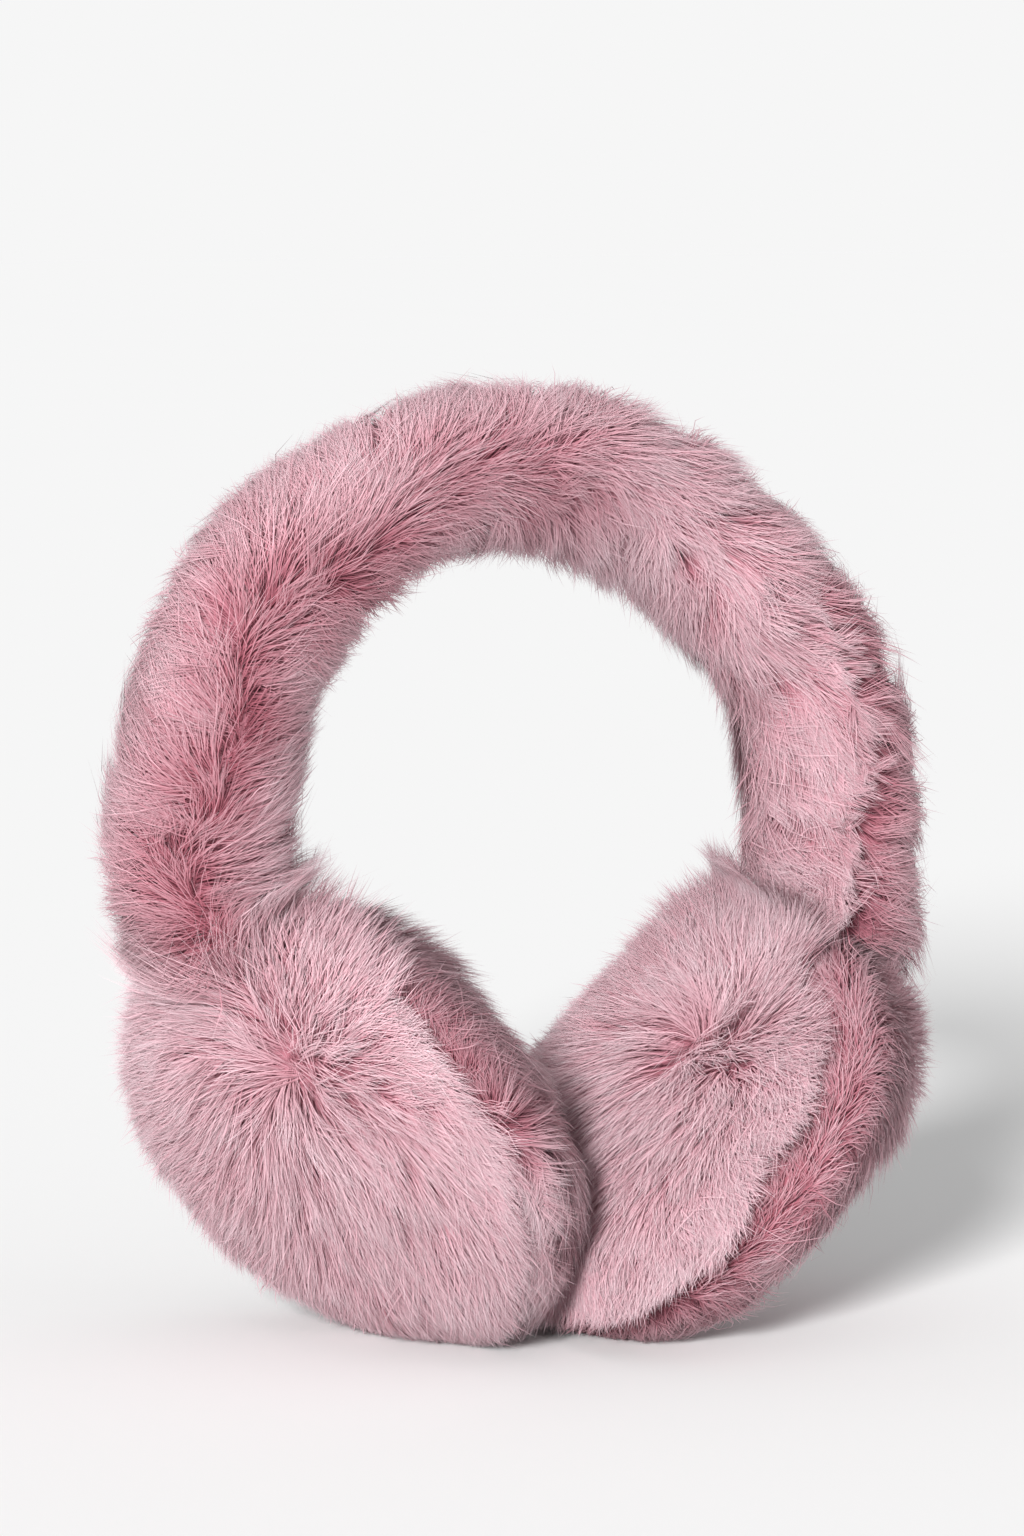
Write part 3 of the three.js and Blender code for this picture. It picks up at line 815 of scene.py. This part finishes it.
class CupSurface(EvenPelt):
    """Points are held as places in space, and laid on the backing straight out from its centre."""

    def __init__(self, cup, facing, whorl, far, joined):
        self.cup, self.facing, self.far, self.joined = cup, facing, far, joined
        self.whorl = (cup.centre + cup.side * whorl[0] * CUP_RADIUS + cup.rise * whorl[1] * CUP_RADIUS
                      + cup.axis * facing * CUP_HALF_HEIGHT)

    def inside_parting(self, points):
        return self.facing * self.cup.past_parting(points)

    def coordinates(self, points):
        return self.cup.hug(points)[0]

    def apart(self, a, b):
        return a - b

    def flow(self, where, draw):
        """Away from the whorl and a little down, with a curl and no fixed middle at the whorl."""
        _, outward = self.cup.hug(where)
        away = where - self.whorl + draw.normal(0, WHORL_RUFFLE, where.shape)
        curl = WHORL_CURL * np.exp(-np.linalg.norm(away, axis=1, keepdims=True) / WHORL_REACH)
        away = unit(away - outward * dot(away, outward)) + HANG
        flow = unit(away - outward * dot(away, outward))
        side = np.cross(outward, flow)
        if self.far:
            curl = math.pi * self.far_edge(where, 45 * MM)[:, None]
        return flow * np.cos(curl) + side * np.sin(curl), side * np.cos(curl) - flow * np.sin(curl)

    def near_parting(self, where, reach):
        """1 at the parting, and 0 from reach on."""
        return smooth_step(1 - self.inside_parting(where) / reach)

    def far_edge(self, where, reach):
        """The edge of a far half, up to where it is pressed between the cups and joins their fur."""
        return self.near_parting(where, reach) * smooth_step((where[:, 2] - self.joined) / JOINING)

    def upright(self, where):
        """1 where the fur stands straight up: at the whorl, and along the parting."""
        whorl = np.clip(1 - np.linalg.norm(where - self.whorl, axis=1) / WHORL_REACH, 0, 1)
        if self.far:
            return np.maximum(0.6 * whorl, 0.85 * self.far_edge(where, 34 * MM))
        return np.maximum(0.6 * whorl, 0.5 * self.near_parting(where, 13 * MM))

    def relief(self, where):
        return 0.2

    def tone(self, where):
        """Painted shade at the parting of the far half, and painted light where that half joins the near
        fur.
        """
        if not self.far:
            return 0.5
        # Painted light: paler low down, where the far half joins the near fur and faces away from the key
        # light, with painted shade right at the parting there.
        joined = smooth_step((self.joined - where[:, 2]) / JOINING)
        joined *= 0.12 - 0.4 * self.near_parting(where, 9 * MM)
        # Painted shade: the far half deepens towards the parting, as if shaded by the near half.
        return 0.5 + joined - 0.28 * self.far_edge(where, 30 * MM) - 0.25 * self.far_edge(where, 14 * MM)

    def pale(self, where):
        """Paler towards the root at the whorl, where no tips cover it."""
        return 0.45 * np.exp(-(np.linalg.norm(where - self.whorl, axis=1) / (12 * MM)) ** 2)

    def extra(self, where):
        """The near half stands proud at the parting and over the band. The far half is short there."""
        if self.far:
            return -7.5 * MM * self.far_edge(where, 30 * MM)
        up = (where - self.cup.centre) @ self.cup.rise / CUP_RADIUS
        return 2.5 * MM * self.near_parting(where, 16 * MM) + 3.5 * MM * smooth_step((up - 0.7) / 0.2)

    def trim(self, where, flow, length, lift):
        """Shortens what would reach over the parting, some of it sooner, so its edge is uneven."""
        uneven = np.sin(where @ (2.9, 3.7, 3.3) / MM) + np.sin(where @ (0.9, -0.7, 1.1) / MM)
        limit = CREASE if self.far else 0.5 * MM + 1.1 * MM * uneven
        for _ in range(TRIM_TRIES):
            tip, outward = self.cup.hug(where + flow * length[:, None])
            tip = tip + outward * lift[:, None]
            over = (self.inside_parting(tip) < limit) & ~self.on_the_band(tip)
            length = np.where(over, length * TRIM_SHARE, length)
        return length

    def on_the_band(self, points):
        return (points - self.cup.centre) @ self.cup.rise > 0.9 * CUP_RADIUS

    def lay(self, where, height):
        """Over the backing, carried on over the band at its foot, and pressed by floor and other cup."""
        place, outward = self.cup.hug(where)
        high = np.nonzero(where[:, 2] > self.cup.centre[2] + 20 * MM)[0]
        at, angle = band_place(where[high])
        wall, out = on_band(at, angle, 0 * at)
        near = smooth_step(1 - dot(where[high] - wall, out)[:, 0] / (9 * MM)) * beside_band(at)
        place[high] += (where[high] - place[high]) * near[:, None]
        pressed = 0.6 + 0.4 * smooth_step(place[:, 2] / FLOOR_PRESS)
        height = (height + SKIN_DEPTH) * pressed - SKIN_DEPTH
        place = place + outward * height[:, None]
        at, angle = band_place(place[high])
        wall, out = on_band(at, angle, height[high])
        deep = np.maximum(dot(wall - place[high], out)[:, 0], 0) * beside_band(at)
        place[high] += out * deep[:, None]
        inner = -self.cup.sign * place[:, 0] + MEETING_MIX
        squeezed = np.where(inner > 0, inner - inner / (1 + inner / MEETING_PRESS), 0)
        place[:, 0] += self.cup.sign * squeezed
        return held_off_floor(place, outward, height), outward


def dome_triangles(cup, facing):
    """The dome of a cup's skin, before it is cut flat, as a fine grid."""
    around, over = DOME_GRID
    turn, high = np.meshgrid(np.linspace(0, 2 * math.pi, around), np.linspace(0, math.pi / 2, over))
    ball = np.stack([np.cos(high) * np.cos(turn), np.cos(high) * np.sin(turn), np.sin(high)], -1)
    return triangles_between(on_dome(cup, facing, ball.reshape(-1, 3)).reshape(ball.shape))


def cup_roots(surface, count, draw):
    """Roots on the domes up to the parting, not on the flats and not deep inside the band."""
    cup = surface.cup
    kept = np.empty((0, 3))
    while len(kept) < count:
        points = np.vstack([roots_on(dome_triangles(cup, facing), count, draw) for facing in (1, -1)])
        backing, _ = cup.hug(points)
        at, angle = band_place(points)
        wall, out = on_band(at, angle, -SKIN_DEPTH * np.ones(len(at)))
        in_band = (dot(wall - points, out)[:, 0] > 9 * MM) & beside_band(at)
        seam = np.abs((points - cup.centre) @ cup.axis)
        dome = (seam > 0.5 * MM) & (surface.inside_parting(backing) > CREASE / 2)
        free = dome & ~in_band & (points[:, 2] > 3 * TOUCH_GAP)
        free &= cup.sign * points[:, 0] > 1.5 * TOUCH_GAP
        kept = np.vstack([kept, points[free]])
    return kept[draw.permutation(len(kept))[:count]]


furs = {}
for seed, (name, half, facing) in enumerate(
        (name, half, facing) for name in cups for half, facing in (("outer", 1), ("inner", -1))):
    node = f"{name}_cup_{half}"
    draw = np.random.default_rng(100 + seed)
    surface = CupSurface(cups[name], facing, WHORLS[node], node in FAR_HALVES,
                         JOINED_BELOW.get(node, NEVER_JOINED))
    locks = Locks(CupPelt, surface, cup_roots(surface, CUP_LOCKS, draw), 150 + seed)
    for layer, (kind, fibre) in enumerate(FIBRES):
        roots = cup_roots(surface, CUP_STRANDS[kind], draw)
        pelt = f"{node}_{kind}"
        furs[pelt] = node, grow(pelt, fibre, surface, roots, locks, 200 + 10 * layer + seed)

# %% [markdown]
# ## Fur of the band
# On the left the band's fur parts along its front: it stands out and up on one side of the parting
# and sweeps inwards on the other. From the top on it runs down the right leg in long wavy locks, and
# there the front of the pelt overlaps the outer side along a furrow.

# %% Fur of the band
BAND_STRANDS = {"fur": 40000, "guard_hair": 13000}
BAND_LOCKS = 1800
BAND_ROUND = 22 * MM
ROOTS_BETWEEN = (0.05, 0.955)
SLEEVE_GRID = (145, 65)
STRAIGHT_FROM = (0.10, 0.89)
STRAIGHT_ON = np.array([(0.38, 0, -0.92), (-0.03, 0, -1.0)])
# The share along the band, and the angle round it in degrees, of the furrow and of the parting.
FURROW = np.array([(0.0, 95), (0.68, 100), (0.76, 84), (0.82, 97), (0.88, 112), (1.0, 120)])
BAND_PARTING = np.array([(0.0, 58), (0.15, 62), (0.25, 76), (0.36, 90), (0.5, 98), (1.0, 98)])
# The share along the band, how far the fur runs along it outside and inside the parting, and how far
# it falls to the side.
BAND_LIE = np.array([
    (0.00, 0.05, 0.05, 1.0), (0.30, 0.15, 0.40, 1.0), (0.44, 0.35, 0.85, 0.8),
    (0.56, 0.90, 1.00, 0.5), (1.00, 1.00, 1.00, 0.30)])


class BandPelt:
    length = 24 * MM
    lift = 3.6 * MM
    sway = 2.4 * MM
    turning = 0.40


class BandSurface(EvenPelt):
    """Points are held as the way along the band and the way round it, both in metres."""

    def coordinates(self, points):
        at, angle = band_place(points)
        return np.stack([at * BAND_LENGTH, angle * BAND_ROUND], 1)

    def apart(self, a, b):
        gap = a - b
        turn = 2 * math.pi * BAND_ROUND
        gap[:, 1] -= turn * np.round(gap[:, 1] / turn)
        return gap

    def past_parting(self, where):
        """The share along, and how far round past the wavy parting."""
        at, angle = where[:, 0] / BAND_LENGTH, where[:, 1] / BAND_ROUND
        parting = np.radians(eased(BAND_PARTING, at, 1))
        return at, angle - parting - 0.22 * np.sin(at * 41) - 0.10 * np.sin(at * 97)

    def flow(self, where, draw):
        """Away from the parting on the left, along the band on the right."""
        at, past = self.past_parting(where)
        past = np.sin(past)
        away = np.clip(past * 2.2, -1, 1) * eased(BAND_LIE, at, 3)
        inside = 0.5 + 0.5 * np.clip(past * 3, -1, 1)
        along = eased(BAND_LIE, at, 1) * (1 - inside) + eased(BAND_LIE, at, 2) * inside
        leg, past, outer = self.furrow(where)
        along += ((1.0 - 0.65 * outer) - along) * leg
        away += ((-0.55 * np.exp(-(past / 0.7) ** 2) * (past > 0) - outer) - away) * leg
        flow = unit(np.stack([along, away], 1))
        return flow, np.stack([-flow[:, 1], flow[:, 0]], 1)

    def furrow(self, where):
        """How far on the right leg, how far past the furrow, and 1 on the overlapped outer side."""
        at, angle = where[:, 0] / BAND_LENGTH, where[:, 1] / BAND_ROUND
        past = np.sin((angle - np.radians(eased(FURROW, at, 1)) + 0.07 * np.sin(at * 63)
                       + 0.05 * np.sin(at * 150)) / 2) * 2
        outer = smooth_step(0.5 - past / 0.2) * (1 - smooth_step((-past - 1.5) / 0.4))
        return smooth_step((at - 0.62) / 0.1), past, outer

    def upright(self, where):
        """Along the parting on the left the fur stands up before it falls to either side."""
        at, past = self.past_parting(where)
        off = np.abs(np.sin(past / 2)) * 2
        return np.clip(1 - off / 0.45, 0, 1) * np.clip((0.6 - at) / 0.15, 0, 1) * 0.7

    def relief(self, where):
        """The pelt lies smooth on the left and in uneven tufts on the right."""
        return 0.12 + 0.3 * smooth_step((where[:, 0] / BAND_LENGTH - 0.35) / 0.25)

    def gather(self, where):
        """Loose on the outer side of the left leg, in locks elsewhere."""
        at, past = self.past_parting(where)
        return 1 - 0.5 * (np.sin(past) < 0) * smooth_step((0.42 - at) / 0.15)

    def tone(self, where):
        """Painted shade along the parting on the left and on its outer side, painted light on its inner
        side, painted shade outside the furrow and on the front of the right leg, and on both legs.
        """
        at, past = self.past_parting(where)
        left = smooth_step((0.62 - at) / 0.2)
        # Painted shade in the valley of the parting.
        painted_parting_shade = 0.46 * np.exp(-(np.sin(past / 2) / 0.15) ** 2) * left
        # Painted light on the inner side, which faces away from the key light, and painted shade on the lit
        # outer side.
        painted_side_light_and_shade = np.where(np.sin(past) > 0, 0.24, -0.07) * left * smooth_step(np.abs(np.sin(past / 2)) / 0.3)
        leg, past, outer = self.furrow(where)
        # Painted shade beyond the furrow on the right leg, and on the front of that leg.
        beside = leg * (0.17 * outer * smooth_step(1 + past / 0.6) + 0.10 * (1 - outer))
        # Painted shade on both legs, so they are darker than the top of the arch.
        return 0.5 + painted_side_light_and_shade - painted_parting_shade - beside - 0.06 * smooth_step((np.abs(at - 0.5) - 0.12) / 0.15)

    def extra(self, where):
        """Higher on the near side of the furrow and lower beyond it."""
        leg, past, outer = self.furrow(where)
        proud = smooth_step(1 - past / 0.8) * (past > 0)
        return leg * (3.5 * MM * proud - 3.5 * MM * outer * smooth_step(1 + past / 1.2))

    def trim(self, where, flow, length, lift):
        """On the right leg the front of the pelt ends at the furrow."""
        leg, past, _ = self.furrow(where)
        front = (leg > 0.5) & (past > 0) & (past < 1.4)
        for _ in range(TRIM_TRIES):
            tip = self.furrow(where + flow * length[:, None])[1]
            length = np.where(front & (tip < 0), length * TRIM_SHARE, length)
        return length

    def lay(self, where, height):
        """On the band. Over the outer side of its ends the fur runs straight on towards the cups."""
        at, angle = where[:, 0] / BAND_LENGTH, where[:, 1] / BAND_ROUND
        place, outward = on_band(at, angle, height)
        turn = np.clip(at, *STRAIGHT_FROM)
        straight, _ = on_band(turn, angle, height)
        ends = np.where(at[:, None] < 0.5, *STRAIGHT_ON)
        straight = straight + ends * (np.abs(at - turn) * BAND_LENGTH)[:, None]
        place += (straight - place) * smooth_step(0.3 + np.cos(angle))[:, None]
        for cup in cups.values():
            sunk = np.clip(1.05 - cup.fullness(place), 0, 0.5)
            _, out = cup.hug(place)
            place += out * (sunk * CUP_HALF_HEIGHT)[:, None]
        return place, outward


def sleeve_triangles():
    """The band's skin as a fine grid."""
    along, around = SLEEVE_GRID
    at = np.linspace(SLEEVE_START, SLEEVE_START + SLEEVE_SHARE, along)
    at, angle = np.meshgrid(at, np.linspace(0, 2 * math.pi, around))
    wall, _ = on_band(at.ravel(), angle.ravel(), -SKIN_DEPTH * np.ones(at.size))
    return triangles_between(wall.reshape(*at.shape, 3))


def band_roots(count, low, high, draw):
    """Roots on the sleeve between two shares along it, outside both cups."""
    first, last = ROOTS_BETWEEN
    kept = np.empty((0, 3))
    while len(kept) < count:
        points = roots_on(sleeve_triangles(), count * 2, draw)
        at, _ = band_place(points)
        free = (at > max(low, first)) & (at < min(high, last))
        for cup in cups.values():
            free &= cup.fullness(points) > 1.05
        kept = np.vstack([kept, points[free]])
    return kept[draw.permutation(len(kept))[:count]]


band_surface = BandSurface()
for seed, (side, low, high) in enumerate((("left", 0, 0.5), ("right", 0.5, 1))):
    draw = np.random.default_rng(300 + seed)
    locks = Locks(BandPelt, band_surface, band_roots(BAND_LOCKS, low, high, draw), 350 + seed)
    for layer, (kind, fibre) in enumerate(FIBRES):
        roots = band_roots(BAND_STRANDS[kind], low, high, draw)
        pelt = f"band_{side}_{kind}"
        furs[pelt] = "band", grow(pelt, fibre, band_surface, roots, locks, 400 + 10 * layer + seed)

# %% [markdown]
# ## What each piece stands for
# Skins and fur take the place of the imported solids, and all of it rides on the one body.

# %% Fasten the pieces
for node, skin in skins.items():
    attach(skin, "root")
    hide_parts(node)
for node, fur in furs.values():
    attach(fur, "root")
    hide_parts(node)
print("pieces:", len(skins) + len(furs))

# %% [markdown]
# ## Floor and light
# The photograph has a plain, almost white floor that runs into the background. One low key light from
# the left front throws the long soft shadow, and an even sky fills the rest. The key is just so strong
# that the lit floor is as white as the background.

# %% Floor, key light and sky
FLOOR_SIZE = 24
FLOOR_WHITE = 0.85
FLOOR_GRAIN = 0.002
KEY_ELEVATION = math.radians(19)
KEY_LEFT_OF_VIEW = math.radians(14)
KEY_SPREAD = math.radians(12)
SKY_LIGHT = 0.52
WHITE = 0.922

bpy.ops.object.select_all(action="DESELECT")
bpy.ops.mesh.primitive_plane_add(size=FLOOR_SIZE, location=(0, 0, 0))
floor = new_shape("floor")
floor_paint, nodes, links = new_material("floor_paint")
floor_shader = nodes["Principled BSDF"]
fill_in(floor_shader, {"Roughness": 0.9, "Specular IOR Level": 0})
place = nodes.new("ShaderNodeTexCoord")
grain = nodes.new("ShaderNodeTexNoise")
grain.inputs["Scale"].default_value = 3
links.new(place.outputs["Object"], grain.inputs["Vector"])
tint = nodes.new("ShaderNodeMix")
tint.data_type = "RGBA"
fill_in(tint, {"A": (*[FLOOR_WHITE - FLOOR_GRAIN] * 3, 1), "B": (*[FLOOR_WHITE + FLOOR_GRAIN] * 3, 1)})
links.new(grain.outputs["Fac"], tint.inputs["Factor"])
links.new(tint.outputs["Result"], floor_shader.inputs["Base Color"])
floor.data.materials.append(floor_paint)
floor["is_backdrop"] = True

key_from = Vector((
    math.sin(VIEW_AZIMUTH - KEY_LEFT_OF_VIEW) * math.cos(KEY_ELEVATION),
    -math.cos(VIEW_AZIMUTH - KEY_LEFT_OF_VIEW) * math.cos(KEY_ELEVATION),
    math.sin(KEY_ELEVATION)))
bpy.ops.object.light_add(type="SUN", location=key_from)
key = bpy.context.object
key.name = "key_light"
key.rotation_euler = key_from.to_track_quat("Z", "Y").to_euler()
key.data.energy = (WHITE / FLOOR_WHITE - SKY_LIGHT) * math.pi / math.sin(KEY_ELEVATION)
key.data.angle = KEY_SPREAD
print("key light:", round(key.data.energy, 2))

world = bpy.data.worlds.new("studio")
bpy.context.scene.world = world
world.use_nodes = True
nodes, links = world.node_tree.nodes, world.node_tree.links
sky = nodes["Background"]
fill_in(sky, {"Color": (1, 1, 1, 1), "Strength": SKY_LIGHT})
seen = nodes.new("ShaderNodeBackground")
seen.inputs["Color"].default_value = (WHITE, WHITE, WHITE, 1)
ray = nodes.new("ShaderNodeLightPath")
pick = nodes.new("ShaderNodeMixShader")
links.new(ray.outputs["Is Camera Ray"], pick.inputs["Fac"])
links.new(sky.outputs["Background"], pick.inputs[1])
links.new(seen.outputs["Background"], pick.inputs[2])
links.new(pick.outputs["Shader"], nodes["World Output"].inputs["Surface"])
bpy.context.scene.view_settings.view_transform = "Standard"

# %% [markdown]
# ## Sizes and the end
# Both boxes are printed, that of the dressed model and that of the solids. The dressed
# model must stay near the box of the solids.

# %% Measure and finish
dressed_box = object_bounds()
for low, high, was_low, was_high in zip(*dressed_box, *cad_box):
    print("in mm:", *(round(value / MM, 1) for value in (low, was_low, high, was_high)))
